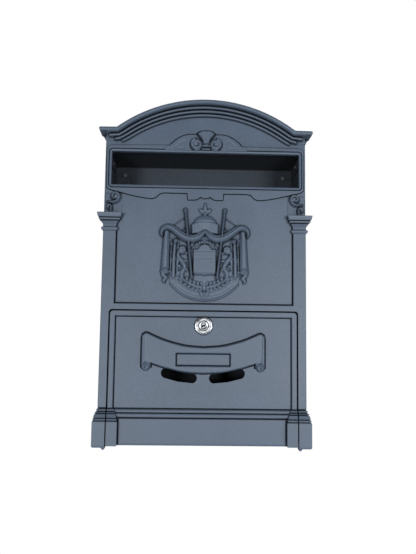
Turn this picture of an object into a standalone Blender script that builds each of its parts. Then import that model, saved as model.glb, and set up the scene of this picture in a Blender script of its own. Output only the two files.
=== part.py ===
"""Wall mounted mailbox: a cast aluminium front on a sheet steel housing.

Sizes are in millimetres and are scaled to metres where meshes are made.  A place is given as
x (across), d (how far it stands proud of the flat face, negative behind it) and z (height
above the underside of the plinth).  In the world the wall is the plane Y = 0, the front looks
along -Y, and the origin is the middle of the back panel's rear face.
"""

import math

import bmesh
import bpy
from mathutils import Matrix, Vector

MM = 0.001

# Driving dimensions
FACE_DEPTH = 82.0          # wall to the flat face of the casting
BODY_HALF = 120.7          # half width of the casting's body
HOUSING_HALF = 118.6       # half width of the sheet steel housing
SHEET = 1.0                # sheet steel
CAST = 3.5                 # wall of the castings
SKIRT_DEPTH = 14.0         # how far the casting's edge wraps back over the housing
SKIRT_WALL = 1.8
GAP = 0.3                  # between pieces that touch
HOUSING_LOW = 5.0
HOUSING_HIGH = 353.0
ORIGIN_Z = (HOUSING_LOW + HOUSING_HIGH) / 2

# Pediment
ARCH_TOP = 410.0
MITRE_HALF = 105.8         # where the arched cornice meets its level ears
MITRE_Z = 372.9
SHOULDER_Z = 362.0
EAR_HALF = 127.5

# Mail slot
SLOT_HALF = 112.8
SLOT_LOW = 306.9
SLOT_HIGH = 347.9

# Pilasters, capitals and plinth
PILASTER_INNER = 105.4
PILASTER_PROUD = 3.0
CROSS_BAR_HIGH = 164.8
PLINTH_HALF = 126.0
PLINTH_HIGH = 30.0
PLINTH_PROUD = 8.0

# Door
OPENING_HALF = 111.1
OPENING_HIGH = 157.9
DOOR_HALF = 109.7
DOOR_LOW = 2.0
DOOR_HIGH = 156.5
DOOR_CORNER = 4.0
RIM_PROUD = 2.3
RECESS_HALF = 103.5
RECESS_LOW = 32.6
RECESS_HIGH = 151.2
LABEL_HALF = 32.0
LABEL_LOW = 92.5
LABEL_HIGH = 107.8
LABEL_DEEP = 1.5
VIEW_SLOT_RADIUS = 6.0

# Hinge
HINGE_D = 3.0
HINGE_Z = 5.0
PIN_RADIUS = 1.5
PIN_INNER = 104.0
PIN_OUTER = 125.4

# Lock
LOCK_Z = 139.7
BARREL_RADIUS = 8.0
BARREL_BACK = -16.0
PLUG_RADIUS = 5.6
KEYWAY_TILT = 35.0
CAM_FRONT = -16.6
CAM_BACK = -18.4
CAM_REACH = 24.6
STRIKE_BACK = -15.8

# Fasteners
SCREW_RADIUS = 1.8
BOSS_RADIUS = 4.4
TAB_FRONT = -11.5
RIVET_RADIUS = 1.6
RIVET_HEAD_RADIUS = 2.9
RIVET_X = 105.0
WALL_HOLE_RADIUS = 3.0
WALL_HOLE_X = 95.0
WALL_HOLES_Z = (52.0, 308.0)

ROUND_STEPS = 20
SIDES = (("left", -1.0), ("right", 1.0))


# Making solids

def world(x, d, z):
    """A point of the design in the world, in metres."""
    return Vector((x, -(FACE_DEPTH + d), z - ORIGIN_Z)) * MM


def clear_scene():
    for old in list(bpy.data.objects):
        bpy.data.objects.remove(old)


def new_collection(name):
    collection = bpy.data.collections.new(name)
    bpy.context.scene.collection.children.link(collection)
    return collection


def new_material(name, color, roughness, metallic):
    material = bpy.data.materials.new(name)
    material.use_nodes = True
    shader = material.node_tree.nodes["Principled BSDF"]
    shader.inputs["Base Color"].default_value = (*color, 1.0)
    shader.inputs["Roughness"].default_value = roughness
    shader.inputs["Metallic"].default_value = metallic
    return material


def mesh_object(name, bm, collection):
    bmesh.ops.recalc_face_normals(bm, faces=bm.faces)
    mesh = bpy.data.meshes.new(name)
    bm.to_mesh(mesh)
    bm.free()
    solid = bpy.data.objects.new(name, mesh)
    collection.objects.link(solid)
    return solid


def block(name, x, d, z, collection):
    """A box between the pairs x, d and z."""
    low = world(min(x), max(d), min(z))
    high = world(max(x), min(d), max(z))
    bm = bmesh.new()
    bmesh.ops.create_cube(bm, size=1.0)
    bmesh.ops.scale(bm, vec=high - low, verts=bm.verts)
    bmesh.ops.translate(bm, vec=(low + high) / 2, verts=bm.verts)
    return mesh_object(name, bm, collection)


def rod(name, centre, along, ends, radius, collection, steps=ROUND_STEPS):
    """A cylinder through centre (x, d, z) along "x" or "d", between the pair ends."""
    x, d, z = centre
    middle = sum(ends) / 2
    if along == "x":
        place = world(middle, d, z)
        turn = Matrix.Rotation(math.pi / 2, 4, "Y")
    else:
        place = world(x, middle, z)
        turn = Matrix.Rotation(math.pi / 2, 4, "X")
    bm = bmesh.new()
    bmesh.ops.create_cone(bm, cap_ends=True, segments=steps, radius1=radius * MM,
                          radius2=radius * MM, depth=abs(ends[1] - ends[0]) * MM,
                          matrix=Matrix.Translation(place) @ turn)
    return mesh_object(name, bm, collection)


def slab(name, outline, d, collection, hole=None):
    """A flat outline in x and z, extruded between the pair d."""
    curve = bpy.data.curves.new(name, "CURVE")
    curve.dimensions = "2D"
    curve.fill_mode = "BOTH"
    curve.extrude = abs(d[1] - d[0]) / 2 * MM
    for points in [outline] + ([hole] if hole else []):
        spline = curve.splines.new("POLY")
        spline.points.add(len(points) - 1)
        for point, (x, z) in zip(spline.points, points):
            point.co = (x * MM, (z - ORIGIN_Z) * MM, 0.0, 1.0)
        spline.use_cyclic_u = True
    drawn = bpy.data.objects.new(name, curve)
    collection.objects.link(drawn)
    drawn.location = (0.0, -(FACE_DEPTH + sum(d) / 2) * MM, 0.0)
    drawn.rotation_euler = (math.pi / 2, 0.0, 0.0)
    return curve_to_mesh(drawn, name, collection)


def curve_to_mesh(drawn, name, collection):
    """Replace a curve by its mesh, with the caps welded on."""
    bpy.context.view_layer.update()
    evaluated = drawn.evaluated_get(bpy.context.evaluated_depsgraph_get())
    mesh = bpy.data.meshes.new_from_object(evaluated)
    mesh.transform(drawn.matrix_world)
    bpy.data.objects.remove(drawn)
    bm = bmesh.new()
    bm.from_mesh(mesh)
    bpy.data.meshes.remove(mesh)
    bmesh.ops.remove_doubles(bm, verts=bm.verts, dist=0.00001)
    return mesh_object(name, bm, collection)


def turned(name, x, z, profile, collection, steps=ROUND_STEPS):
    """A solid turned about an axis along d; profile is (radius, d) from front to back."""
    bm = bmesh.new()
    points = [bm.verts.new((radius * MM, 0.0, d * MM)) for radius, d in profile]
    for first, second in zip(points, points[1:]):
        bm.edges.new((first, second))
    mesh = bpy.data.meshes.new(name)
    bm.to_mesh(mesh)
    bm.free()
    solid = bpy.data.objects.new(name, mesh)
    collection.objects.link(solid)
    screw = solid.modifiers.new("turn", "SCREW")
    screw.steps = steps
    screw.render_steps = steps
    screw.use_merge_vertices = True
    screw.merge_threshold = 0.00001
    solid.location = world(x, 0.0, z)
    solid.rotation_euler = (math.pi / 2, 0.0, 0.0)
    return solid


def combine(target, tools, operation):
    """Join tools to target, or cut them from it; the tools stay as hidden guides."""
    for tool in tools:
        step = target.modifiers.new(tool.name, "BOOLEAN")
        step.operation = operation
        step.solver = "EXACT"
        step.object = tool
        tool.hide_render = True
        tool.display_type = "WIRE"


def weld(solid):
    """Merge the near-duplicate points that joining thin steps leaves."""
    merge = solid.modifiers.new("weld", "WELD")
    merge.merge_threshold = 0.00003


def finish(solid, material):
    """Give a sub-part its material and shade its round faces smooth."""
    solid.data.materials.append(material)
    solid.data.shade_smooth()
    solid.data.set_sharp_from_angle(angle=math.radians(30))
    return solid


def set_origin(solid, origin):
    """Put an object's origin on a joint's axis without moving its shape."""
    bpy.context.view_layer.update()
    solid.data.transform(Matrix.Translation(-(solid.matrix_world.inverted() @ origin)))
    solid.location = origin


# Outlines

def arc(x, z, radius, start, end, steps):
    """Points on a circle from start to end, in degrees."""
    angles = [math.radians(start + (end - start) * i / steps) for i in range(steps + 1)]
    return [(x + radius * math.cos(a), z + radius * math.sin(a)) for a in angles]


def arch(half, z_end, z_middle, steps=10):
    """The right half of a shallow arch, from (half, z_end) to (0, z_middle)."""
    rise = z_middle - z_end
    radius = (half ** 2 + rise ** 2) / (2 * rise)
    reach = math.degrees(math.asin(half / radius))
    return arc(0.0, z_middle - radius, radius, 90 - reach, 90, steps)


def both_sides(right):
    """A closed outline from its right half, which runs from one end to the other."""
    left = [(-x, z) for x, z in reversed(right) if x > 0.01]
    return right + left


def rectangle(half, low, high):
    return [(half, low), (half, high), (-half, high), (-half, low)]


def rounded_top(half, low, high, radius):
    """A rectangle whose two upper corners are round."""
    corner = arc(half - radius, high - radius, radius, 0, 90, 4)
    return both_sides([(half, low)] + corner)


def side_span(sign, inner, outer):
    """The pair of x of something on one side of the middle."""
    return (sign * inner, sign * outer)


# The cast front

def frame_edge(inset, foot):
    """The right half of the casting's edge, from its foot to the top of the arch."""
    half = BODY_HALF - inset
    top = arch(MITRE_HALF - inset, MITRE_Z - 3.0 - inset, ARCH_TOP - 3.0 - inset)
    return [(half, foot), (half, SHOULDER_Z - inset)] + top


def cornice_step(name, inset, drop, tip, ear_low, proud, guides):
    """One step of the cornice: an arched band, inset below its top, with a level ear each side."""
    top = [(tip, MITRE_Z - 1.3 - inset)] + arch(MITRE_HALF, MITRE_Z - inset, ARCH_TOP - inset)
    low = arch(MITRE_HALF - 1.0, ear_low, ARCH_TOP - drop)
    ear = [(tip - 6.0, ear_low), (tip - 1.0, ear_low + 4.0)]
    upper = top + [(-x, z) for x, z in reversed(top[:-1])]
    lower = ear[::-1] + low
    under = [(-x, z) for x, z in lower] + lower[-2::-1]
    return slab(name, upper + under, (-1.0 - inset, proud), guides)


def make_cornice(guides):
    return [cornice_step("cornice_low", 1.6, 21.5, 122.2, 357.4, 3.5, guides),
            cornice_step("cornice_middle", 0.8, 14.6, 124.8, 361.8, 7.5, guides),
            cornice_step("cornice_torus", 0.0, 8.0, EAR_HALF, 366.0, 12.0, guides)]


def make_slot_surround(guides):
    """The raised band round the mail slot, with its crest above and apron below."""
    crest = [(119.0, 352.9), (45.0, 352.9), (37.0, 363.0), (26.8, 369.0), (0.0, 370.5)]
    apron = [(0.0, 291.9), (12.0, 290.2), (21.0, 290.4), (21.5, 298.1), (50.0, 298.1),
             (66.0, 291.0), (119.0, 302.6)]
    keystone = [(4.5, 352.0), (10.0, 372.0), (6.0, 374.5)]
    pieces = [slab("slot_band", both_sides(apron + crest), (-1.0, 2.0), guides),
              slab("keystone", both_sides(keystone), (-1.0, 5.5), guides)]
    for side, sign in SIDES:
        centre = (sign * 12.6, 0.0, 358.0)
        pieces.append(rod(f"volute_{side}", centre, "d", (-1.0, 4.6), 7.4, guides))
    return pieces


def make_side_column(side, sign, guides):
    """Console, capital, pilaster and plinth block of one side."""
    body = BODY_HALF - 0.2
    foot = -SKIRT_DEPTH + GAP
    steps = (("console", 99.0, 120.3, -1.0, 4.0, 271.0, 297.0),
             ("capital_slab", 100.0, EAR_HALF, -9.0, 9.5, 266.5, 271.8),
             ("capital_ridge", 101.3, 124.5, -8.0, 7.0, 262.8, 267.0),
             ("capital_neck", PILASTER_INNER, body, -1.0, 4.0, 254.0, 263.5),
             ("capital_ring", 102.4, 122.8, -7.0, 5.8, 251.0, 254.6),
             ("pilaster", PILASTER_INNER, body, -1.0, PILASTER_PROUD, 40.0, 252.0),
             ("plinth_cap", 106.0, 122.4, foot + 1.0, 4.2, 38.5, 42.8),
             ("plinth_slope", 106.5, 124.4, foot + 0.5, 6.2, 29.5, 38.8),
             ("plinth_block", 107.0, PLINTH_HALF, foot, PLINTH_PROUD, 0.0, PLINTH_HIGH))
    pieces = []
    for name, inner, outer, back, front, low, high in steps:
        pieces.append(block(f"{name}_{side}", side_span(sign, inner, outer), (back, front),
                            (low, high), guides))
    scrolls = (("scroll_large", 107.4, 293.0, 5.7, 6.6), ("scroll_small", 114.8, 280.0, 3.6, 5.8))
    for name, x, z, radius, front in scrolls:
        centre = (sign * x, 0.0, z)
        pieces.append(rod(f"{name}_{side}", centre, "d", (-1.0, front), radius, guides))
    return pieces


def make_emblem(guides):
    """A plain relief: a hanging cloak, a domed cap with a finial and a blank shield."""
    hem = arch(44.0, 187.0, 168.5, 5)[::-1]
    drape = [(54.0, 205.0), (53.0, 253.0), (43.5, 259.0), (33.0, 250.0), (19.5, 246.0),
             (11.0, 249.0)]
    shield = [(0.0, 198.5), (8.0, 201.0), (13.7, 208.0), (13.7, 230.0)]
    cap = [(13.0, 247.0)] + arc(0.0, 255.0, 16.0, 0, 90, 6)
    finial = [(7.0, 268.0), (5.0, 284.0)]
    return [slab("cloak", both_sides(hem + drape), (-1.0, 2.6), guides),
            slab("shield", both_sides(shield), (-1.0, 5.0), guides),
            slab("cap", both_sides(cap), (-1.0, 5.0), guides),
            slab("finial", both_sides(finial), (-1.0, 2.2), guides)]


def screw_places():
    """Where the six frame screws stand, as (x, z)."""
    rows = ((106.0, 186.0), (106.0, 286.0), (80.0, 362.0))
    return [(sign * x, z) for x, z in rows for _, sign in SIDES]


def make_frame_fittings(guides):
    """The panel's cross bar, the rib the cam catches, the hinge lugs and the screw bosses."""
    bar_half = PILASTER_INNER + 0.5
    pieces = [block("cross_bar", (-bar_half, bar_half), (-1.0, 2.0),
                    (OPENING_HIGH - 3.0, CROSS_BAR_HIGH), guides),
              block("strike_rib", (-16.0, 16.0), (STRIKE_BACK, -CAST + 1.0),
                    (OPENING_HIGH + 0.5, 161.4), guides)]
    for side, sign in SIDES:
        lug = [(sign * x, z) for x, z in ((111.3, 1.0), (112.2, -2.9), (114.2, -2.9), (117.0, 1.0))]
        pieces.append(slab(f"hinge_lug_{side}", lug, (-3.0, 3.0), guides))
    for number, (x, z) in enumerate(screw_places(), start=1):
        pieces.append(rod(f"boss_{number}", (x, 0.0, z), "d", (TAB_FRONT + GAP, -CAST + 1.0),
                          BOSS_RADIUS, guides))
    return pieces


def make_front_frame(model, guides, material):
    frame = slab("front_frame", both_sides(frame_edge(0.0, GAP)), (-SKIRT_DEPTH, 0.0), model)
    added = make_cornice(guides) + make_slot_surround(guides) + make_emblem(guides)
    for side, sign in SIDES:
        added += make_side_column(side, sign, guides)
    combine(frame, added, "UNION")
    weld(frame)
    room = slab("housing_room", both_sides(frame_edge(SKIRT_WALL, -5.0)), (-30.0, -CAST), guides)
    combine(frame, [room], "DIFFERENCE")
    combine(frame, make_frame_fittings(guides), "UNION")
    through = (-30.0, 20.0)
    opening = rounded_top(OPENING_HALF, -5.0, OPENING_HIGH, DOOR_CORNER)
    removed = [slab("door_opening", opening, through, guides),
               slab("mail_slot", rectangle(SLOT_HALF, SLOT_LOW, SLOT_HIGH), through, guides)]
    for side, sign in SIDES:
        removed.append(rod(f"pin_hole_{side}", (0.0, HINGE_D, HINGE_Z), "x",
                           side_span(sign, 108.0, 130.0), PIN_RADIUS + GAP, guides))
    for number, (x, z) in enumerate(screw_places(), start=1):
        removed.append(rod(f"pilot_{number}", (x, 0.0, z), "d", (TAB_FRONT - 2.0, -4.2),
                           SCREW_RADIUS + GAP, guides, 12))
    combine(frame, removed, "DIFFERENCE")
    return finish(frame, material)


# The sheet steel housing

def rivet_rows():
    """Rivets as (name, x, d, z, along): six through the back, two on top, two below."""
    rows = []
    for side, sign in SIDES:
        for number, z in enumerate((30.0, 185.0, 340.0), start=1):
            rows.append((f"back_rivet_{side}_{number}", sign * RIVET_X, 0.0, z, "d"))
        rows.append((f"top_rivet_{side}", sign * HOUSING_HALF, -42.0, 345.0, "x"))
        rows.append((f"bottom_rivet_{side}", sign * HOUSING_HALF, -42.0, 12.5, "x"))
    return rows


def rivet_holes(suffix, wanted, guides):
    """Clearance holes for the rivets whose names hold the word wanted."""
    holes = []
    for name, x, d, z, along in rivet_rows():
        if wanted not in name:
            continue
        if along == "d":
            ends = (-FACE_DEPTH - 2.0, -FACE_DEPTH + 6.0)
        else:
            ends = (x - 6.0, x + 6.0)
        holes.append(rod(f"{name}_{suffix}", (x, d, z), along, ends, RIVET_RADIUS + GAP,
                         guides, 12))
    return holes


def make_back_panel(model, guides, material):
    panel = block("back_panel", (-HOUSING_HALF, HOUSING_HALF), (-FACE_DEPTH, -FACE_DEPTH + SHEET),
                  (HOUSING_LOW, HOUSING_HIGH), model)
    holes = rivet_holes("in_back", "back_rivet", guides)
    for side, sign in SIDES:
        for number, z in enumerate(WALL_HOLES_Z, start=1):
            holes.append(rod(f"wall_hole_{side}_{number}", (sign * WALL_HOLE_X, 0.0, z), "d",
                             (-FACE_DEPTH - 2.0, -FACE_DEPTH + 4.0), WALL_HOLE_RADIUS, guides, 16))
    combine(panel, holes, "DIFFERENCE")
    return finish(panel, material)


def make_side_panel(side, sign, model, guides, material):
    """One side: its web, the flange riveted to the back and two tabs for the frame screws."""
    back = -FACE_DEPTH + SHEET + GAP
    front = -CAST - GAP
    inner = HOUSING_HALF - SHEET
    panel = block(f"{side}_side_panel", side_span(sign, inner, HOUSING_HALF), (back, front),
                  (HOUSING_LOW, HOUSING_HIGH), model)
    flange = block(f"{side}_flange", side_span(sign, 98.0, inner + 0.5), (back, back + SHEET),
                   (HOUSING_LOW + 15.0, HOUSING_HIGH - 15.0), guides)
    tabs = []
    for number, middle in enumerate((186.0, 286.0), start=1):
        tabs.append(block(f"{side}_tab_{number}", side_span(sign, 98.0, inner + 0.5),
                          (TAB_FRONT - SHEET, TAB_FRONT), (middle - 10.0, middle + 10.0), guides))
    combine(panel, [flange] + tabs, "UNION")
    holes = rivet_holes(f"in_{side}_side", side, guides)
    for number, (x, z) in enumerate(screw_places(), start=1):
        if x * sign > 0 and z < 300.0:
            holes.append(rod(f"tab_hole_{number}", (x, 0.0, z), "d", (TAB_FRONT - 4.0, TAB_FRONT + 4.0),
                             SCREW_RADIUS + GAP, guides, 12))
    combine(panel, holes, "DIFFERENCE")
    return finish(panel, material)


def make_end_panel(name, z, flange_z, model, guides, material):
    """The housing's top or bottom: a web with a flange riveted inside each side panel."""
    inner = HOUSING_HALF - SHEET - GAP
    back = -FACE_DEPTH + SHEET + GAP
    front = -6.5
    panel = block(name, (-inner, inner), (back, front), z, model)
    flanges = []
    for side, sign in SIDES:
        flanges.append(block(f"{name}_flange_{side}", side_span(sign, inner - SHEET, inner),
                             (-62.0, -22.0), flange_z, guides))
    if name == "top_panel":
        for side, sign in SIDES:
            flanges.append(block(f"top_tab_{side}", side_span(sign, 70.0, 90.0),
                                 (TAB_FRONT - SHEET, TAB_FRONT), (352.4, 370.0), guides))
    combine(panel, flanges, "UNION")
    holes = rivet_holes(f"in_{name}", name.replace("panel", "rivet"), guides)
    if name == "top_panel":
        for number, (x, z) in enumerate(screw_places(), start=1):
            if z > 300.0:
                holes.append(rod(f"top_hole_{number}", (x, 0.0, z), "d",
                                 (TAB_FRONT - 4.0, TAB_FRONT + 4.0), SCREW_RADIUS + GAP, guides, 12))
    combine(panel, holes, "DIFFERENCE")
    return finish(panel, material)


# Fasteners and hinge pins

def make_frame_screws(model, material):
    """Pan head screws that go forwards through the tabs into the casting's bosses."""
    head_back = TAB_FRONT - SHEET - GAP - 2.4
    profile = [(0.0, -5.2), (SCREW_RADIUS, -5.2), (SCREW_RADIUS, TAB_FRONT - SHEET - GAP),
               (3.6, TAB_FRONT - SHEET - GAP), (3.3, head_back + 0.7), (2.2, head_back),
               (0.0, head_back)]
    for number, (x, z) in enumerate(screw_places(), start=1):
        finish(turned(f"frame_screw_{number}", x, z, profile, model, 12), material)


def make_rivets(model, guides, material):
    """Blind rivets: a shank through both sheets with a head on each side."""
    for name, x, d, z, along in rivet_rows():
        if along == "d":
            outer = -FACE_DEPTH + 0.15
            inner = -FACE_DEPTH + 2 * SHEET + 2 * GAP
            parts = [rod(name, (x, 0.0, z), "d", (outer, inner + 0.6), RIVET_RADIUS, model, 12),
                     rod(f"{name}_head", (x, 0.0, z), "d", (inner, inner + 1.1),
                         RIVET_HEAD_RADIUS, guides, 12)]
        else:
            sign = math.copysign(1.0, x)
            outer = HOUSING_HALF + 0.15
            inner = HOUSING_HALF - 2 * SHEET - 2 * GAP
            parts = [rod(name, (0.0, d, z), "x", side_span(sign, inner - 0.6, outer),
                         RIVET_RADIUS, model, 12),
                     rod(f"{name}_head", (0.0, d, z), "x", side_span(sign, inner - 1.1, inner),
                         RIVET_HEAD_RADIUS, guides, 12)]
        combine(parts[0], parts[1:], "UNION")
        finish(parts[0], material)


def make_hinge(model, guides, steel, nylon):
    """Each side's pin, driven in through the plinth block, and its washer in the seam."""
    centre = (0.0, HINGE_D, HINGE_Z)
    gap_low = DOOR_HALF + GAP
    gap_high = OPENING_HALF - GAP
    for side, sign in SIDES:
        finish(rod(f"hinge_pin_{side}", centre, "x", side_span(sign, PIN_INNER, PIN_OUTER),
                   PIN_RADIUS, model), steel)
        washer = rod(f"hinge_washer_{side}", centre, "x", side_span(sign, gap_low, gap_high),
                     3.8, model)
        bore = rod(f"washer_bore_{side}", centre, "x", side_span(sign, gap_low - 2, gap_high + 2),
                   PIN_RADIUS + GAP, guides)
        combine(washer, [bore], "DIFFERENCE")
        finish(washer, nylon)


# The door

def view_slot(sign):
    """The outline of one slot for looking in: round ended and rising outwards."""
    lower = [(13.0, 78.8), (28.0, 80.6), (43.0, 84.4)]
    near = arc(*lower[0], VIEW_SLOT_RADIUS, 100, 260, 6)
    far = arc(*lower[2], VIEW_SLOT_RADIUS, -75, 105, 6)
    below = (lower[1][0] + 1.2, lower[1][1] - VIEW_SLOT_RADIUS)
    above = (lower[1][0] - 1.2, lower[1][1] + VIEW_SLOT_RADIUS)
    outline = near + [below] + far + [above]
    return [(sign * x, z) for x, z in outline]


def make_banner(guides):
    """The ribbon above the slots: hollow on its upper edge, with rolled ends."""
    upper = [(0.0, 114.2), (22.0, 116.2), (44.0, 121.6), (63.5, 130.2)]
    lower = [(0.0, 84.7), (22.0, 86.2), (44.0, 90.6), (60.0, 95.8), (62.0, 88.0), (70.0, 88.0)]
    ribbon = slab("banner", both_sides(lower + [(72.0, 110.0), (70.0, 125.0)] + upper[::-1]),
                  (-1.0, 4.0), guides)
    pieces = [ribbon]
    for side, sign in SIDES:
        pieces.append(rod(f"curl_{side}", (sign * 66.3, 0.0, 91.0), "d", (-1.0, 5.2), 4.6, guides))
    return pieces


def make_door_edges(guides):
    """The rim round the recess, the ledges under it and the two inner plinth blocks."""
    recess = rectangle(RECESS_HALF, RECESS_LOW, RECESS_HIGH)
    pieces = [slab("rim", rounded_top(DOOR_HALF, DOOR_LOW, DOOR_HIGH, DOOR_CORNER),
                   (-1.0, RIM_PROUD), guides, hole=recess),
              block("ledge_high", (-RECESS_HALF - 0.5, RECESS_HALF + 0.5), (-1.0, 3.6),
                    (38.9, 42.6), guides),
              block("ledge_low", (-RECESS_HALF - 0.5, RECESS_HALF + 0.5), (-1.0, 5.0),
                    (32.0, 38.4), guides)]
    for side, sign in SIDES:
        for name, proud, low, high in (("foot", PLINTH_PROUD, DOOR_LOW, PLINTH_HIGH),
                                       ("foot_slope", 6.2, 29.5, 38.8),
                                       ("foot_cap", 4.2, 38.5, 42.8)):
            pieces.append(block(f"{name}_{side}", side_span(sign, 97.5, DOOR_HALF),
                                (-1.0, proud), (low, high), guides))
    return pieces


def make_door(model, guides, material):
    door = slab("door", rounded_top(DOOR_HALF, DOOR_LOW, DOOR_HIGH, DOOR_CORNER), (-CAST, 0.0), model)
    combine(door, make_door_edges(guides) + make_banner(guides), "UNION")
    label = block("label_room", (-LABEL_HALF, LABEL_HALF), (4.0 - LABEL_DEEP, 9.0),
                  (LABEL_LOW, LABEL_HIGH), guides)
    removed = [label, rod("lock_hole", (0.0, 0.0, LOCK_Z), "d", (-20.0, 20.0),
                          BARREL_RADIUS + GAP, guides)]
    for side, sign in SIDES:
        removed.append(slab(f"view_slot_{side}", view_slot(sign), (-20.0, 20.0), guides))
        removed.append(rod(f"door_pin_hole_{side}", (0.0, HINGE_D, HINGE_Z), "x",
                           side_span(sign, PIN_INNER - GAP, DOOR_HALF + 5.0),
                           PIN_RADIUS + GAP, guides))
    combine(door, removed, "DIFFERENCE")
    set_origin(door, world(0.0, HINGE_D, HINGE_Z))
    return finish(door, material)


# The cam lock

def make_lock_body(model, guides, material):
    """A flanged barrel, bored right through for the plug."""
    profile = [(PLUG_RADIUS + GAP, 3.2), (8.6, 3.2), (10.3, 2.0), (10.3, GAP),
               (BARREL_RADIUS, GAP), (BARREL_RADIUS, BARREL_BACK),
               (PLUG_RADIUS + GAP, BARREL_BACK), (PLUG_RADIUS + GAP, 3.2)]
    finish(turned("lock_body", 0.0, LOCK_Z, profile, model, 24), material)


def make_lock_ring(name, outer, d, steps, model, guides, material):
    """A washer or nut threaded over the barrel."""
    ring = rod(name, (0.0, 0.0, LOCK_Z), "d", d, outer, model, steps)
    bore = rod(f"{name}_bore", (0.0, 0.0, LOCK_Z), "d", (d[0] - 2.0, d[1] + 2.0),
               BARREL_RADIUS + GAP, guides, 24)
    combine(ring, [bore], "DIFFERENCE")
    return finish(ring, material)


def make_lock_plug(model, guides, material):
    """The turning core, with a tilted keyway in front and a square tail for the cam."""
    plug = rod("lock_plug", (0.0, 0.0, LOCK_Z), "d", (BARREL_BACK - 0.2, 2.8), PLUG_RADIUS, model, 24)
    tail = block("plug_tail", (-3.0, 3.0), (CAM_BACK - 0.2, BARREL_BACK + 1.0),
                 (LOCK_Z - 3.0, LOCK_Z + 3.0), guides)
    combine(plug, [tail], "UNION")
    tilt = math.radians(KEYWAY_TILT)
    along = Vector((math.cos(tilt), math.sin(tilt)))
    across = Vector((-along.y, along.x))
    corners = [along * a + across * b for a, b in ((-3.8, -0.8), (3.8, -0.8), (3.8, 0.8), (-3.8, 0.8))]
    keyway = slab("keyway", [(c.x, LOCK_Z + c.y) for c in corners], (-4.0, 9.0), guides)
    screw_hole = rod("tail_hole", (0.0, 0.0, LOCK_Z), "d", (CAM_BACK - 4.0, -8.0), 1.8, guides, 12)
    combine(plug, [keyway, screw_hole], "DIFFERENCE")
    set_origin(plug, world(0.0, 0.0, LOCK_Z))
    return finish(plug, material)


def make_lock_cam(model, guides, material):
    """The cam, lying sideways while unlocked; it reaches up behind the rib when turned."""
    outline = [(x, LOCK_Z + z) for x, z in [(CAM_REACH, -4.5), (CAM_REACH, 4.5), (6.0, 6.5)]
               + arc(0.0, 0.0, 8.0, 60, 300, 10) + [(6.0, -6.5)]]
    cam = slab("lock_cam", outline, (CAM_BACK, CAM_FRONT), model)
    square = block("cam_square", (-3.0 - GAP, 3.0 + GAP), (CAM_BACK - 3.0, CAM_FRONT + 3.0),
                   (LOCK_Z - 3.0 - GAP, LOCK_Z + 3.0 + GAP), guides)
    combine(cam, [square], "DIFFERENCE")
    set_origin(cam, world(0.0, 0.0, LOCK_Z))
    return finish(cam, material)


def make_cam_fixing(model, guides, material):
    """The washer and screw that hold the cam on the plug's tail."""
    back = CAM_BACK - 0.2 - GAP
    washer = rod("cam_washer", (0.0, 0.0, LOCK_Z), "d", (back - 0.8, back), 5.0, model, 16)
    bore = rod("cam_washer_bore", (0.0, 0.0, LOCK_Z), "d", (back - 3.0, back + 3.0), 1.8, guides, 12)
    combine(washer, [bore], "DIFFERENCE")
    finish(washer, material)
    under = back - 0.8 - GAP
    profile = [(0.0, -9.0), (1.5, -9.0), (1.5, under), (3.2, under), (2.9, under - 1.6),
               (1.8, under - 2.2), (0.0, under - 2.2)]
    finish(turned("cam_screw", 0.0, LOCK_Z, profile, model, 12), material)


def make_lock(model, guides, chrome, zinc):
    make_lock_body(model, guides, chrome)
    make_lock_ring("lock_washer", 11.0, (-CAST - GAP - 0.9, -CAST - GAP), 24, model, guides, zinc)
    make_lock_ring("lock_nut", 12.0, (-9.5, -CAST - 2 * GAP - 0.9), 6, model, guides, zinc)
    make_lock_plug(model, guides, chrome)
    make_lock_cam(model, guides, zinc)
    make_cam_fixing(model, guides, zinc)


def parent_pieces():
    """Hang the moving pieces under empties on their joint axes."""
    hinge = bpy.data.objects.new("door_axis", None)
    turn = bpy.data.objects.new("lock_axis", None)
    hinge.location = world(0.0, HINGE_D, HINGE_Z)
    turn.location = world(0.0, 0.0, LOCK_Z)
    for empty in (hinge, turn):
        bpy.context.scene.collection.objects.link(empty)
    bpy.context.view_layer.update()
    groups = ((hinge, ("door", "lock_body", "lock_nut", "lock_washer")),
              (turn, ("lock_plug", "lock_cam", "cam_screw", "cam_washer")))
    for empty, names in groups:
        for name in names:
            piece = bpy.data.objects[name]
            piece.parent = empty
            piece.matrix_parent_inverse = empty.matrix_world.inverted()
    turn.parent = hinge
    turn.matrix_parent_inverse = hinge.matrix_world.inverted()


def build():
    clear_scene()
    model = new_collection("wall_mailbox")
    guides = new_collection("guides")
    coat = new_material("powder_coat", (0.11, 0.14, 0.18), 0.5, 0.0)
    sheet = new_material("sheet_paint", (0.08, 0.10, 0.13), 0.55, 0.0)
    zinc = new_material("zinc_steel", (0.55, 0.56, 0.58), 0.35, 1.0)
    chrome = new_material("chrome", (0.75, 0.77, 0.80), 0.15, 1.0)
    nylon = new_material("nylon", (0.05, 0.05, 0.05), 0.5, 0.0)
    make_back_panel(model, guides, sheet)
    for side, sign in SIDES:
        make_side_panel(side, sign, model, guides, sheet)
    top_web = (HOUSING_HIGH - SHEET, HOUSING_HIGH)
    bottom_web = (HOUSING_LOW, HOUSING_LOW + SHEET)
    make_end_panel("top_panel", top_web, (339.0, top_web[0] + 0.5), model, guides, sheet)
    make_end_panel("bottom_panel", bottom_web, (bottom_web[1] - 0.5, 18.5), model, guides, sheet)
    make_front_frame(model, guides, coat)
    make_frame_screws(model, zinc)
    make_rivets(model, guides, zinc)
    make_hinge(model, guides, zinc, nylon)
    make_door(model, guides, coat)
    make_lock(model, guides, chrome, zinc)
    parent_pieces()


build()
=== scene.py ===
import math

import bmesh
import bpy
import numpy as np
from mathutils import Matrix, Vector

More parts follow.
